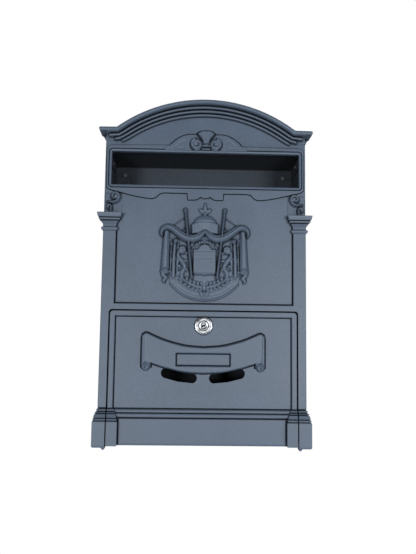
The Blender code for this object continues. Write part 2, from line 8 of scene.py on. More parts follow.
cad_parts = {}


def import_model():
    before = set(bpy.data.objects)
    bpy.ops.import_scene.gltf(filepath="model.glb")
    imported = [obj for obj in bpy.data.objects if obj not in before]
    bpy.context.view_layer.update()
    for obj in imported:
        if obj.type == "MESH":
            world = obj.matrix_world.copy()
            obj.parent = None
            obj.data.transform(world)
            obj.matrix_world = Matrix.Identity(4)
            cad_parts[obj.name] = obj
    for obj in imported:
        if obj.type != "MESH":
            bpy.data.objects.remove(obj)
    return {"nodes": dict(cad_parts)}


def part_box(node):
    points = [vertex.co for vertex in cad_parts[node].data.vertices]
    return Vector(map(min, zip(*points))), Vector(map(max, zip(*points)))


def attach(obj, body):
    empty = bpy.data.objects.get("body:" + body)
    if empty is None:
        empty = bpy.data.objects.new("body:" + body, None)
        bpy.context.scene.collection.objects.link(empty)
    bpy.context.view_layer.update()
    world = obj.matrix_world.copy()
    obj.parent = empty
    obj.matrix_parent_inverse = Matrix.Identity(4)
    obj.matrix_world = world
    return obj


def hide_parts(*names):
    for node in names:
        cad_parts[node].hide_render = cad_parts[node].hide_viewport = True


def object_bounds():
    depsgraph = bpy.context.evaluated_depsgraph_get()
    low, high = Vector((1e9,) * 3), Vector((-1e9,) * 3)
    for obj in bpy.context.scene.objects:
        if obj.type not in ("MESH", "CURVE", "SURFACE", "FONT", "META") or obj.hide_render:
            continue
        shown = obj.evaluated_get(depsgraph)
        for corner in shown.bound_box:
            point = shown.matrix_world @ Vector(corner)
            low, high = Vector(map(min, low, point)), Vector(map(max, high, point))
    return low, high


# The looks of a wall mounted mailbox: a cast front and door over a sheet steel housing.
# Lengths are in millimetres until world() turns them into the frame's metres. x runs to the
# right, d stands out from the front casting's flat face, and z rises from the casting's foot.

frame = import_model()
CAD_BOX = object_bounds()

MM = 0.001
SIDES = (("left", -1.0), ("right", 1.0))

# Where the design's face and foot lie in the frame, from how far the CAD solids reach past them.
ARCH_TOP = 410.0
FEET_PROUD = 8.0
FACE_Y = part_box("door")[0].y + FEET_PROUD * MM
FOOT_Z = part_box("front_frame")[1].z - ARCH_TOP * MM

# The castings: their wall, the skirt that runs back round the front one, and a gap at its edges.
CAST, GAP = 3.5, 0.3
SKIRT_DEPTH, SKIRT_WALL = 14.0, 1.8
BODY_HALF, SHOULDER_Z = 120.7, 362.0

# The cornice: an arch between two mitres, and level ears outside them.
MITRE_HALF, MITRE_Z = 107.0, 374.8
CROWN_TOP, CROWN_PROUD = 411.0, 13.6
EAR_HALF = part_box("front_frame")[1].x / MM
ARCH_RISE, ARCH_STEPS = CROWN_TOP - MITRE_Z, 36
ARCH_RADIUS = (MITRE_HALF ** 2 + ARCH_RISE ** 2) / (2 * ARCH_RISE)

# The mail slot, the pilasters, the door and what moves with it.
SLOT_HALF, SLOT_LOW, SLOT_HIGH = 112.8, 306.9, 347.9
PILASTER_INNER, PILASTER_PROUD = 105.4, 3.0
OPENING_HALF, OPENING_HIGH = 111.1, 157.9
DOOR_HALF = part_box("door")[1].x / MM
DOOR_LOW, DOOR_HIGH, DOOR_CORNER = 2.0, 156.5, 4.0
HINGE, BORE_RADIUS = (0.0, 3.0, 5.0), 1.8
LOCK = (0.0, 0.0, sum(corner.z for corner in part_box("lock_body")) / 2 / MM - FOOT_Z / MM)

# How far cutting shapes run behind and in front of the castings, and how meshes are made and shaded.
CUT_BACK, CUT_FRONT = -30.0, 20.0
EDGE_STEPS, MERGE, FEWEST_VERTS = 3, 1e-7, 20
SHARP, RELIEF_SHARP, LEVEL = math.radians(32.0), math.radians(70.0), 0.99995


# Outlines

def world(x, d, z):
    return Vector((x * MM, FACE_Y - d * MM, FOOT_Z + z * MM))


def arc(x, z, radius, start, end, steps):
    """Points on a circle from start to end, in degrees."""
    angles = [math.radians(start + (end - start) * i / steps) for i in range(steps + 1)]
    return [(x + radius * math.cos(a), z + radius * math.sin(a)) for a in angles]


def both_sides(right):
    """A closed outline from its right half, which runs from one end to the other."""
    return list(right) + [(-x, z) for x, z in reversed(right) if x > 0.01]


def rectangle(half, low, high):
    return [(half, low), (half, high), (-half, high), (-half, low)]


def rounded_top(half, low, high, radius):
    """A rectangle whose upper corners are round."""
    return both_sides([(half, low)] + arc(half - radius, high - radius, radius, 0, 90, 6))


def curve(points, steps):
    """A smooth line through the points, however many numbers each of them has."""
    known = np.array(points, float)
    known = np.vstack([2 * known[0] - known[1], known, 2 * known[-1] - known[-2]])
    line = []
    for a, b, c, e in zip(known, known[1:], known[2:], known[3:]):
        for i in range(steps):
            t = i / steps
            line.append(0.5 * (2 * b + (c - a) * t + (2 * a - 5 * b + 4 * c - e) * t ** 2
                               + (3 * b - a - 3 * c + e) * t ** 3))
    line.append(known[-2])
    return [tuple(p) for p in line]


def mitres(path, looped):
    """At each point of a path, the move that shifts both neighbouring edges left by one."""
    points = np.array(path, float)
    ahead = np.roll(points, -1, 0) - points
    if not looped:
        ahead[-1] = ahead[-2]
    ahead /= np.linalg.norm(ahead, axis=1)[:, None]
    behind = np.roll(ahead, 1, 0)
    if not looped:
        behind[0] = ahead[0]
    left, before = (np.stack([-edge[:, 1], edge[:, 0]], 1) for edge in (ahead, behind))
    return (left + before) / (1 + np.sum(left * before, 1))[:, None]


def grown(outline, amount):
    """A closed outline moved outwards by amount, or inwards if that is negative."""
    points = np.array(outline, float)
    x, z = points[:, 0], points[:, 1]
    turn = np.sign(np.sum(x * np.roll(z, -1) - np.roll(x, -1) * z))
    return [tuple(p) for p in points - turn * amount * mitres(points, True)]


def softened(outline, radius):
    """A closed outline with its corners rounded, each as far as its edges have room."""
    points = [Vector(p) for p in outline]
    soft = []
    for a, b, c in zip(points[-1:] + points[:-1], points, points[1:] + points[:1]):
        room = min(radius, (a - b).length * 0.45, (c - b).length * 0.45)
        start = b + (a - b).normalized() * room
        end = b + (c - b).normalized() * room
        for i in range(EDGE_STEPS + 1):
            t = i / EDGE_STEPS
            soft.append(tuple(start * (1 - t) ** 2 + b * (2 * t * (1 - t)) + end * t ** 2))
    return soft


def groove_section(half, low, high):
    """The round cornered section of a furrow, low being its floor."""
    return softened([(-half, low), (half, low), (half, high), (-half, high)], 0.4)


def crown_height(x, soft=0.2):
    """Height of the cornice's top edge: an arch between level ears, the corner eased by soft."""
    fall = CROWN_TOP - ARCH_RADIUS + math.sqrt(ARCH_RADIUS ** 2 - x ** 2) - MITRE_Z
    return MITRE_Z + (fall + math.sqrt(fall ** 2 + 4 * soft ** 2)) / 2


# Meshes

def new_object(name, data):
    made = bpy.data.objects.new(name, data)
    bpy.context.scene.collection.objects.link(made)
    return made


def new_piece(name, bm):
    mesh = bpy.data.meshes.new(name)
    bm.to_mesh(mesh)
    bm.free()
    return new_object(name, mesh)


def loft(name, rings, looped=False):
    """A closed mesh through rings of (x, d, z) points, capped at both ends unless looped."""
    bm = bmesh.new()
    rows = [[bm.verts.new(world(*point)) for point in ring] for ring in rings]
    following = rows[1:] + rows[:1] if looped else rows[1:]
    for one, two in zip(rows, following):
        for i, corner in enumerate(one):
            j = (i + 1) % len(one)
            bm.faces.new((corner, one[j], two[j], two[i]))
    if not looped:
        bm.faces.new(rows[0])
        bm.faces.new(rows[-1])
    bmesh.ops.remove_doubles(bm, verts=bm.verts, dist=MERGE)
    bmesh.ops.recalc_face_normals(bm, faces=bm.faces)
    return new_piece(name, bm)


def pad(name, outline, back, front, edge):
    """A flat plate from back to front, its front edge rounded by edge."""
    rings = [[(x, back, z) for x, z in outline]]
    for i in range(EDGE_STEPS + 1 if edge else 1):
        a = math.pi / 2 * i / EDGE_STEPS
        inset = edge * (1 - math.cos(a))
        level = front - edge * (1 - math.sin(a))
        rings.append([(x, level, z) for x, z in (grown(outline, -inset) if inset else outline)])
    return loft(name, rings)


def sweep(name, path, profile, plane, sign=1.0, looped=False):
    """A profile of (out, up) run along a flat path with mitred corners, out being to its left.

    In plan the path is of (x, d) and up is z; in front the path is of (x, z) and up is d."""
    rings = []
    for point, mitre in zip(np.array(path, float), mitres(path, looped)):
        ring = []
        for out, up in profile:
            a, b = point + out * mitre
            ring.append((sign * a, b, up) if plane == "plan" else (sign * a, up, b))
        rings.append(ring)
    return loft(name, rings, looped)


def cutter(name, outline, back=CUT_BACK, front=CUT_FRONT):
    """A square edged plate to cut with, right through unless told how far."""
    return pad(name, outline, back, front, 0.0)


def turned(name, centre, profile, steps, along="d"):
    """A profile of (radius, along) turned about an axis through centre, along d or x."""
    x, d, z = centre
    rings = []
    for i in range(steps):
        a = 2 * math.pi * i / steps
        if along == "d":
            rings.append([(x + r * math.cos(a), s, z + r * math.sin(a)) for r, s in profile])
        else:
            rings.append([(s, d + r * math.cos(a), z + r * math.sin(a)) for r, s in profile])
    return loft(name, rings, looped=True)


def drill(name, centre, radius, near, far, steps, along="d"):
    """A round cutter on an axis through centre, from near to far."""
    return turned(name, centre, [(0.0, near), (radius, near), (radius, far), (0.0, far)], steps, along)


def combine(target, tools, operation):
    """Join tools to target or cut them from it, then remove them."""
    for tool in tools:
        change = target.modifiers.new(tool.name, "BOOLEAN")
        change.operation = operation
        change.solver = "MANIFOLD"
        change.object = tool
        done = bpy.data.meshes.new_from_object(
            target.evaluated_get(bpy.context.evaluated_depsgraph_get()))
        target.modifiers.clear()
        old = target.data
        target.data = done
        bpy.data.meshes.remove(old)
        bpy.data.objects.remove(tool)
    return target


def without_specks(piece):
    """Delete separate bits of a few vertices, which a boolean can leave behind."""
    bm = bmesh.new()
    bm.from_mesh(piece.data)
    left, specks = set(bm.verts), []
    while left:
        island = [left.pop()]
        for vert in island:
            fresh = {edge.other_vert(vert) for edge in vert.link_edges} & left
            left -= fresh
            island += fresh
        if len(island) < FEWEST_VERTS:
            specks += island
    bmesh.ops.delete(bm, geom=specks, context="VERTS")
    bm.to_mesh(piece.data)
    bm.free()
    return piece


def shade(piece):
    """Smooth shading that keeps level faces flat and the sharper edges hard."""
    mesh = piece.data
    normals = np.empty(3 * len(mesh.polygons))
    mesh.polygons.foreach_get("normal", normals)
    level = np.abs(normals.reshape(-1, 3)).max(axis=1) > LEVEL
    mesh.set_sharp_from_angle(angle=SHARP)
    mesh.polygons.foreach_set("use_smooth", ~level)
    weighted = piece.modifiers.new("weighted", "WEIGHTED_NORMAL")
    weighted.keep_sharp = True
    return piece


def finish(piece, body, slot, material, *nodes):
    """Give a piece its finish, hang it on its body and hide the CAD nodes it stands for."""
    piece.data.materials.clear()
    piece.data.materials.append(material)
    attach(piece, body)
    if nodes:
        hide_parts(*nodes)
    return piece


# Cast ornament

# Bare places lie at SUNK, meshes reach back to RELIEF_BACK, and furrows cut only what is above LEAST.
SUNK, RELIEF_BACK, LEAST, MOAT_WIDTH = -0.6, -0.8, 0.1, 1.2
FAR, TINY = 1e3, 1e-9


class Relief:
    """A height map over a patch of a flat face, drawn stroke by stroke."""

    def __init__(self, x_span, z_span, step):
        across = np.arange(x_span[0], x_span[1] + step / 2, step)
        upwards = np.arange(z_span[0], z_span[1] + step / 2, step)
        self.x, self.z = np.meshgrid(across, upwards)
        self.h = np.full(self.x.shape, SUNK)

    def from_line(self, ax, az, dx, dz):
        """How far each place is from a straight line, and how far along the line that is."""
        t = np.clip(((self.x - ax) * dx + (self.z - az) * dz) / (dx * dx + dz * dz + TINY), 0, 1)
        return np.hypot(self.x - ax - t * dx, self.z - az - t * dz), t

    def near(self, points, steps):
        """How far each place is from a smooth line of (x, z, radius): past its edge, and over its radius."""
        points = curve(points, steps) if len(points) > 2 else points
        gap = np.full(self.x.shape, FAR)
        ratio = gap.copy()
        for (ax, az, ar), (bx, bz, br) in zip(points, points[1:]):
            dx, dz = bx - ax, bz - az
            away, t = self.from_line(ax, az, dx, dz)
            radius = ar + (br - ar) * t
            gap = np.minimum(gap, away - radius)
            ratio = np.minimum(ratio, away / radius)
        return gap, ratio

    def raise_to(self, level, where, gap, moat):
        """Lay a shape over what is there, with a narrow ditch of depth moat round it."""
        if moat:
            ditch = np.clip(1 - gap / MOAT_WIDTH, 0, 1) * (gap > 0)
            self.h = np.where(self.h > LEAST, np.maximum(self.h - moat * ditch, LEAST), self.h)
        self.h = np.where(where, np.maximum(self.h, level), self.h)

    def stroke(self, points, height, base=0.0, moat=0.7, steps=6):
        """A round backed ridge along a smooth line of (x, z, radius)."""
        gap, ratio = self.near(points, steps)
        crown = base + (height - base) * np.sqrt(np.clip(1 - ratio ** 2, 0, 1))
        self.raise_to(crown, ratio < 1, gap, moat)

    def groove(self, points, depth, steps=6):
        """A furrow along a smooth line of (x, z, radius)."""
        _, ratio = self.near(points, steps)
        self.h -= depth * np.clip(1 - ratio ** 2, 0, 1) * (self.h > LEAST)

    def dome(self, x, z, across, upwards, height, base=0.0, moat=0.7):
        """A rounded boss with an oval outline."""
        ratio = np.hypot((self.x - x) / across, (self.z - z) / upwards)
        crown = base + (height - base) * np.sqrt(np.clip(1 - ratio ** 2, 0, 1))
        self.raise_to(crown, ratio < 1, (ratio - 1) * min(across, upwards), moat)

    def inside(self, outline):
        """Distance to a closed outline, positive inside it."""
        away = np.full(self.x.shape, FAR)
        within = np.zeros(self.x.shape, bool)
        for (ax, az), (bx, bz) in zip(outline, outline[1:] + outline[:1]):
            dx, dz = bx - ax, bz - az
            away = np.minimum(away, self.from_line(ax, az, dx, dz)[0])
            crossing = ax + (self.z - az) * dx / (dz if abs(dz) > TINY else TINY)
            within ^= ((az > self.z) != (bz > self.z)) & (self.x < crossing)
        return np.where(within, away, -away)

    def plateau(self, outline, height, soft, moat=0.7):
        """A flat topped area whose edge rises over a width of soft."""
        depth = self.inside(outline)
        rise = np.clip(depth / soft, 0, 1)
        self.raise_to(height * np.sqrt(1 - (1 - rise) ** 2), depth > 0, -depth, moat)

    def leaf(self, x, z, angle, length, width, height):
        """A pointed leaf from (x, z), bulging in its middle and furrowed down its midrib."""
        a = math.radians(angle)
        shape = ((0.0, 0.25), (0.3, 0.9), (0.55, 1.0), (0.8, 0.6), (1.0, 0.12))
        points = [(x + length * t * math.cos(a), z + length * t * math.sin(a), width * w)
                  for t, w in shape]
        self.stroke(points, height, moat=0.5, steps=3)
        self.groove([(p[0], p[1], 0.3 + 0.1 * width) for p in points[:4]], 0.25 * height, steps=2)

    def volute(self, x, z, radius, start, turns, width, height, base=0.0):
        """A spiral band that winds in from radius to its eye; turns is negative for clockwise."""
        points = []
        count = int(abs(turns) * 14)
        for i in range(count + 1):
            t = i / count
            a = math.radians(start) + 2 * math.pi * turns * t
            r = radius * (1 - t) ** 0.85
            points.append((x + r * math.cos(a), z + r * math.sin(a), width * (1 - 0.45 * t)))
        disc = radius + 0.6 * width
        self.dome(x, z, disc, disc, 0.76 * height + 0.24 * base, base, moat=1.6)
        self.stroke(points, height, 0.6 * height + 0.4 * base, moat=0.0, steps=1)
        self.dome(x, z, width * 0.95, width * 0.95, height + 0.3, 0.6 * height, moat=0.4)

    def solid(self, name, mirrored=True, sign=1.0):
        """The drawn places as a closed mesh, from their heights back to RELIEF_BACK."""
        x, z, h = self.x, self.z, self.h
        if mirrored:
            x, z, h = (np.hstack([part[:, :0:-1], part]) for part in (x, z, h))
            x = np.where(np.arange(x.shape[1]) < self.x.shape[1] - 1, -x, x)
        h = softer(h)
        high = h > SUNK + 0.3
        kept = high[1:, 1:] | high[1:, :-1] | high[:-1, 1:] | high[:-1, :-1]
        return grid_solid(name, sign * x, h, z, without_pinches(kept))


def softer(height):
    """One pass of a small blur, which rounds the foot and shoulder of every shape."""
    for axis in (0, 1):
        padded = np.concatenate([height.take([0], axis), height, height.take([-1], axis)], axis)
        count = padded.shape[axis]
        height = (padded.take(range(count - 2), axis) + 2 * padded.take(range(1, count - 1), axis)
                  + padded.take(range(2, count), axis)) / 4
    return height


def without_pinches(kept):
    """Fill cells until no two kept cells meet at a corner alone."""
    kept = kept.copy()
    while True:
        a, b, c, e = kept[:-1, :-1], kept[:-1, 1:], kept[1:, :-1], kept[1:, 1:]
        pinch = (a & e & ~b & ~c) | (b & c & ~a & ~e)
        if not pinch.any():
            return kept
        for rows in (slice(0, -1), slice(1, None)):
            for columns in (slice(0, -1), slice(1, None)):
                kept[rows, columns] |= pinch


def grid_solid(name, x, h, z, kept):
    """A closed mesh over the kept cells of a grid: heights in front, flat behind, walls between."""
    number = np.arange(x.size).reshape(x.shape)
    total = x.size
    quads = np.stack([number[:-1, :-1], number[:-1, 1:], number[1:, 1:], number[1:, :-1]], -1)[kept]
    edges = np.concatenate([quads[:, [i, (i + 1) % 4]] for i in range(4)])
    edges = dict.fromkeys(map(tuple, edges.tolist()))
    walls = [(b, a, a + total, b + total) for a, b in edges if (b, a) not in edges]
    faces = quads.tolist() + (quads[:, ::-1] + total).tolist() + walls
    points = np.concatenate([np.stack([x, h, z], -1).reshape(-1, 3),
                             np.stack([x, np.full(x.shape, RELIEF_BACK), z], -1).reshape(-1, 3)])
    used, renumbered = np.unique(np.concatenate([np.ravel(f) for f in faces]), return_inverse=True)
    places = np.stack([points[used, 0] * MM, FACE_Y - points[used, 1] * MM,
                       FOOT_Z + points[used, 2] * MM], -1)
    mesh = bpy.data.meshes.new(name)
    mesh.from_pydata(places.tolist(), [], renumbered.reshape(-1, 4).tolist())
    mesh.shade_smooth()
    mesh.update()
    piece = new_object(name, mesh)
    bm = bmesh.new()
    bm.from_mesh(mesh)
    bmesh.ops.recalc_face_normals(bm, faces=bm.faces)
    bm.to_mesh(mesh)
    bm.free()
    mesh.set_sharp_from_angle(angle=RELIEF_SHARP)
    return piece


# The cornice

# Each row is how far out the moulding stands in front, how far at the ears' sides, and its height.
CROWN = ([(-1.0, -1.0, -2.6), (4.0, 4.0, -1.6), (9.6, 9.6, -0.8)]
         + [(out, out, up) for out, up in arc(10.9, -3.0, 2.7, 88, -95, 10)]
         + [(9.0, 10.3, -5.9), (5.0, 9.6, -6.0), (2.4, 8.4, -6.5), (0.9, 6.8, -7.6), (0.5, 5.0, -9.2),
            (0.4, 3.1, -11.0), (0.3, 1.2, -12.9), (-1.0, -1.0, -13.0)])
# Each bead's end, how far it stands out, its top and its foot, and how much its corner is eased.
BEADS = ((117.4, 8.4, -7.2, -10.0, 0.5), (111.4, 6.3, -11.3, -14.1, 1.0),
         (107.6, 4.2, -15.3, -18.1, 1.5))
BEAD_END = 2.4


def arch_stations():
    """The x of the cornice's sections between its two mitres."""
    reach = math.asin(MITRE_HALF / ARCH_RADIUS)
    return [ARCH_RADIUS * math.sin(reach * i / ARCH_STEPS) for i in range(-ARCH_STEPS, ARCH_STEPS + 1)]


def cornice_line(ends, soft=0.2):
    """Points and upward mitres along the cornice's top edge, ends being the x outside its arch."""
    reach = abs(ends[-1]) - 0.3
    across = list(ends) + [x for x in arch_stations() if abs(x) < reach] + [-x for x in reversed(ends)]
    line = [(x, crown_height(x, soft)) for x in across]
    return list(zip(line, mitres(line, False)))


def make_crown():
    """The large moulding on top, which returns along the casting's sides at its ears."""
    thin, back = (EAR_HALF - BODY_HALF) / CROWN_PROUD, -9.0
    (corner, lift), *middle, (last, _) = cornice_line((-BODY_HALF,))
    places = [(corner, lift, back, -thin, 0.0), (corner, lift, 0.0, -thin, 1.0)]
    places += [(point, up, 0.0, 0.0, 1.0) for point, up in middle]
    places += [(last, lift, 0.0, thin, 1.0), (last, lift, back, thin, 0.0)]
    rings = []
    for (x, z), mitre, d, side, front in places:
        rings.append([(x + side * wide + up * mitre[0], d + front * out, z + up * mitre[1])
                      for out, wide, up in CROWN])
    return loft("crown", rings)


def make_bead(number, end, proud, top, low, soft):
    """A bead under the crown, level where it runs out onto each ear, with round ends."""
    radius = (top - low) / 2
    section = ([(-1.0, top)] + arc(proud - radius, (top + low) / 2, radius, 90, -90, 6)
               + [(-1.0, low)])
    turns = (0.12, 0.6, 1.1)
    line = cornice_line([-end + BEAD_END * (1 - math.cos(a)) for a in turns], soft)
    shares = [math.sin(a) for a in turns]
    shares += [1.0] * (len(line) - 2 * len(shares)) + shares[::-1]
    rings = []
    for ((x, z), mitre), share in zip(line, shares):
        rings.append([(x + up * mitre[0], out * share if out > 0 else out, z + up * mitre[1])
                      for out, up in section])
    return loft(f"bead_{number}", rings)


# The front casting

# Profiles of (out, up).
SLOT_LIP = [(0.0, -2.0), (0.0, 1.9), (0.5, 2.5), (1.9, 2.7), (2.6, 2.3), (2.9, 1.2), (2.9, -2.0)]
LIP_FURROW = [(2.9, 0.4), (3.9, 0.4), (3.9, 4.0), (2.9, 4.0)]
CAPITAL = [(-3.0, 271.8), (6.2, 271.8), (6.8, 271.2), (6.7, 270.2), (5.8, 266.8), (5.4, 266.4),
           (3.8, 266.1), (3.8, 265.4), (4.8, 265.1), (4.9, 264.4), (4.6, 263.6), (3.9, 263.2),
           (1.8, 262.9), (1.8, 262.3), (2.6, 261.9), (2.2, 261.0), (1.3, 260.0), (0.6, 258.9), (0.2, 257.6),
           (0.2, 255.3), (1.2, 254.9), (2.0, 254.2), (2.2, 253.2), (1.8, 252.0), (0.8, 251.0),
           (0.0, 250.6), (-3.0, 250.6)]
PLINTH = [(-3.0, 43.4), (0.2, 43.3), (0.9, 42.9), (1.3, 42.1), (1.2, 41.3), (-0.2, 41.0), (-0.2, 40.4),
          (1.6, 40.1), (2.6, 39.3), (2.9, 38.7), (1.4, 38.4), (1.4, 37.8), (3.0, 37.4), (3.9, 34.6),
          (4.3, 33.7), (2.9, 33.4), (2.9, 32.8), (4.3, 32.5), (4.8, 31.4), (4.9, 30.7), (3.5, 30.4),
          (3.5, 29.8), (5.0, 29.5), (5.3, 28.8), (5.3, 2.4), (4.9, 1.0), (4.0, 0.2), (3.0, 0.0),
          (-3.0, 0.0)]
FAN_TOP = [(10.4, 369.6), (10.2, 371.8), (6.0, 374.4), (0.0, 375.2)]
FURROW_HALF = 0.65
FURROW = groove_section(FURROW_HALF, -1.2, 1.0)
TRENCH_WIDTH, TRENCH_DEPTH = 0.8, 1.3
CROSS_BAR = softened([(-2.0, 157.0), (3.0, 157.0), (3.0, 164.6), (-2.0, 164.6)], 0.8)


def frame_edge(inset, foot):
    """The right half of the casting's edge, from its foot to the top of the arch."""
    half = BODY_HALF - inset
    line = [(half, foot), (half, SHOULDER_Z - inset)]
    drop = 3.0 + inset
    stations = [x for x in reversed(arch_stations()) if x > -0.01]
    return line + [(x * (1 - inset / MITRE_HALF), crown_height(x) - drop) for x in stations]


def band_edge():
    """The right half of the band round the slot, from its apron below to its level top."""
    cusp = [(0.0, 291.8), (3.4, 292.3), (6.0, 293.8), (8.6, 291.4), (12.0, 290.1), (21.0, 290.0),
            (21.5, 298.0)]
    curl = curve([(50.0, 298.1), (55.0, 296.6), (59.0, 292.6), (66.0, 290.9), (84.0, 293.6),
                  (104.0, 298.4), (113.0, 300.6), (118.0, 303.4)], 4)
    return cusp + curl + arc(113.0, 349.4, 5.8, 0, 84, 6) + [(80.0, 355.9), (46.0, 356.6)]


def panel_groove():
    """A cutter for the furrow down both sides of the emblem's panel and along its foot."""
    half, low, high = 104.6, 165.6, 262.0
    return sweep("panel_groove", [(-half, high), (-half, low), (half, low), (half, high)],
                 groove_section(0.8, -1.5, 1.0), "front")


def side_column(side, sign):
    """Pilaster, capital and the frame's half of the plinth."""
    inner, outer, front = PILASTER_INNER, BODY_HALF - 0.1, PILASTER_PROUD
    low, high, foot_inner = 44.6, 268.0, 108.0
    shaft = [(sign * inner, low), (sign * outer, low), (sign * outer, high), (sign * inner, high)]
    wrap = [(inner, -2.0), (inner, front), (outer, front), (outer, -9.0)]
    foot = [(foot_inner, front), (outer, front), (outer, -SKIRT_DEPTH + GAP)]
    lug = softened([(sign * x, z) for x, z in ((110.2, 1.0), (112.2, -2.9), (114.2, -2.9), (117.0, 1.0))],
                   1.2)
    return [pad(f"shaft_{side}", shaft, -1.0, front, 0.8),
            sweep(f"capital_{side}", wrap, CAPITAL, "plan", sign),
            sweep(f"plinth_{side}", foot, PLINTH, "plan", sign),
            pad(f"lug_{side}", lug, -3.0, 3.4, 1.0)]


def screw_places():
    """Where the six frame screws stand, as (x, z), read from the frame."""
    places = []
    for number in range(1, 7):
        low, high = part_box(f"frame_screw_{number}")
        middle = (low + high) / 2
        places.append((middle.x / MM, (middle.z - FOOT_Z) / MM))
    return places


def crest_rise():
    """The crest's shoulder on the right, from the band up to the fan."""
    return curve([(40.0, 353.2), (43.5, 356.4), (36.0, 363.8), (27.0, 368.9), (18.0, 370.6), (8.0, 370.0)],
                 5)[5:]


def ear_cove(side, sign):
    """A cutter for the deep cove under the front of an ear."""
    near, far, top = BODY_HALF - 1.4, EAR_HALF + 2.0, crown_height(BODY_HALF) - 5.2
    near_drop, far_drop, lean, back = 6.6, 9.0, 1.6, -7.6
    outline = [(near, top), (far, top), (far, top - far_drop), (near + lean, top - near_drop)]
    return cutter(f"ear_cove_{side}", [(sign * x, z) for x, z in outline], back)


def crest_furrow():
    """A cutter for the furrow along the crest's shoulders and over its fan."""
    right = [(x + 0.2, z + 0.6) for x, z in crest_rise() if x > FAN_TOP[0][0] + 1.0]
    right += [(x + 0.9, z + 0.9) for x, z in FAN_TOP[1:-1]]
    line = right + [(0.0, FAN_TOP[-1][1] + 1.0)] + [(-x, z) for x, z in reversed(right)]
    return sweep("crest_furrow", line, FURROW, "front")


def make_front_casting(coat):
    shell = pad("front_casting", both_sides(frame_edge(0.0, GAP)), -SKIRT_DEPTH, 0.0, 0.9)
    room = cutter("room", both_sides(frame_edge(SKIRT_WALL, -5.0)), front=-CAST)
    combine(shell, [room], "DIFFERENCE")
    slot = softened(rectangle(SLOT_HALF, SLOT_LOW, SLOT_HIGH), 1.2)
    band = both_sides(band_edge())
    combine(shell, [cutter("band_trench", grown(band, TRENCH_WIDTH), -TRENCH_DEPTH, 5.0)], "DIFFERENCE")
    added = [make_crown()]
    for number, bead in enumerate(BEADS, start=1):
        added.append(make_bead(number, *bead))
    added.append(sweep("slot_lip", slot[::-1], SLOT_LIP, "front", looped=True))
    added.append(pad("band", band, -2.0, 1.9, 0.4))
    added.append(sweep("cross_bar", [(-112.5, 0.0), (112.5, 0.0)], CROSS_BAR, "plan"))
    for side, sign in SIDES:
        added += side_column(side, sign)
    boss = [(0.0, -1.5), (4.7, -1.5), (4.4, -6.0), (4.4, -11.0), (4.2, -11.2), (0.0, -11.2)]
    bosses, holes = [], []
    for number, (x, z) in enumerate(screw_places(), start=1):
        bosses.append(turned(f"boss_{number}", (x, 0.0, z), boss, 28))
        holes.append(drill(f"hole_{number}", (x, 0.0, z), 2.1, -14.0, -4.2, 20))
    added += bosses + [pad("strike_rib", rectangle(16.0, OPENING_HIGH + 0.5, 161.4), -15.8, -2.5, 0.0)]
    combine(shell, added, "UNION")
    opening = rounded_top(OPENING_HALF, -8.0, OPENING_HIGH, DOOR_CORNER)
    removed = [cutter("opening", opening), cutter("slot", slot),
               sweep("lip_furrow", slot[::-1], LIP_FURROW, "front", looped=True), *holes]
    for side, sign in SIDES:
        removed += [ear_cove(side, sign),
                    drill(f"bore_{side}", HINGE, BORE_RADIUS, sign * 108.0, sign * 130.0, 20, "x")]
    combine(shell, removed + [crest_furrow(), panel_groove()], "DIFFERENCE")
    return finish(shade(without_specks(shell)), "housing", "powder_coat", coat, "front_frame")


# Ornament on the front casting

def make_crest(coat):
    """The swan necked crest over the slot: a fan between two volutes."""
    crest = Relief((0.0, 52.0), (349.5, 376.5), 0.4)
    crest.plateau(both_sides([(50.0, 350.0), (50.0, 355.6)] + crest_rise() + [(0.0, 369.0)]), 2.6, 0.6)
    corners = [(26.0, 353.4), (36.5, 353.4), (34.5, 357.0), (30.5, 360.4), (26.2, 362.2), (26.0, 353.4)]
    crest.groove([(x, z, 0.5) for x, z in corners], 0.6, steps=4)
    fan = [(4.2, 357.5), (4.8, 361.5), (7.0, 366.0)] + FAN_TOP
    crest.plateau(both_sides(fan), 6.6, 2.2, moat=2.4)
    crest.groove([(2.2, 361.5, 0.6), (4.6, 371.6, 1.2)], 0.4)
    for z, half, radius in ((351.9, 4.6, 1.6), (356.2, 4.0, 2.0)):
        crest.stroke([(0.0, z, radius), (half, z, radius)], 4.8)
    crest.volute(11.2, 357.9, 6.4, 60, -1.7, 2.2, 6.6, 1.2)
    crest.stroke([(16.0, 353.6, 1.0), (12.8, 350.6, 1.4), (8.8, 351.1, 1.2), (6.0, 353.6, 0.8)], 4.2)
    return finish(crest.solid("crest_relief"), "housing", "powder_coat", coat)


def make_console(side, sign, coat):
    """The scrolled bracket between the slot and the capital."""
    console = Relief((97.0, 120.2), (269.0, 300.0), 0.4)
    console.plateau([(99.2, 270.0), (119.6, 270.0), (119.6, 296.6), (99.2, 296.6)], 0.8, 0.6)
    console.groove([(100.2, 271.0, 0.5), (100.2, 288.0, 0.5)], 0.5)
    console.volute(107.2, 292.4, 4.7, 200, -1.6, 1.7, 6.2)
    console.stroke([(102.8, 290.9, 1.9), (104.6, 287.6, 2.0), (108.4, 285.6, 1.7), (113.0, 285.0, 1.3),
                    (117.4, 285.8, 0.7)], 6.0)
    console.volute(114.6, 279.6, 2.8, 200, -1.1, 1.25, 5.2)
    console.stroke([(111.9, 278.9, 1.3), (112.2, 275.4, 1.5), (113.2, 271.0, 1.7)], 4.6)
    return finish(console.solid(f"console_{side}", mirrored=False, sign=sign), "housing", "powder_coat", coat)


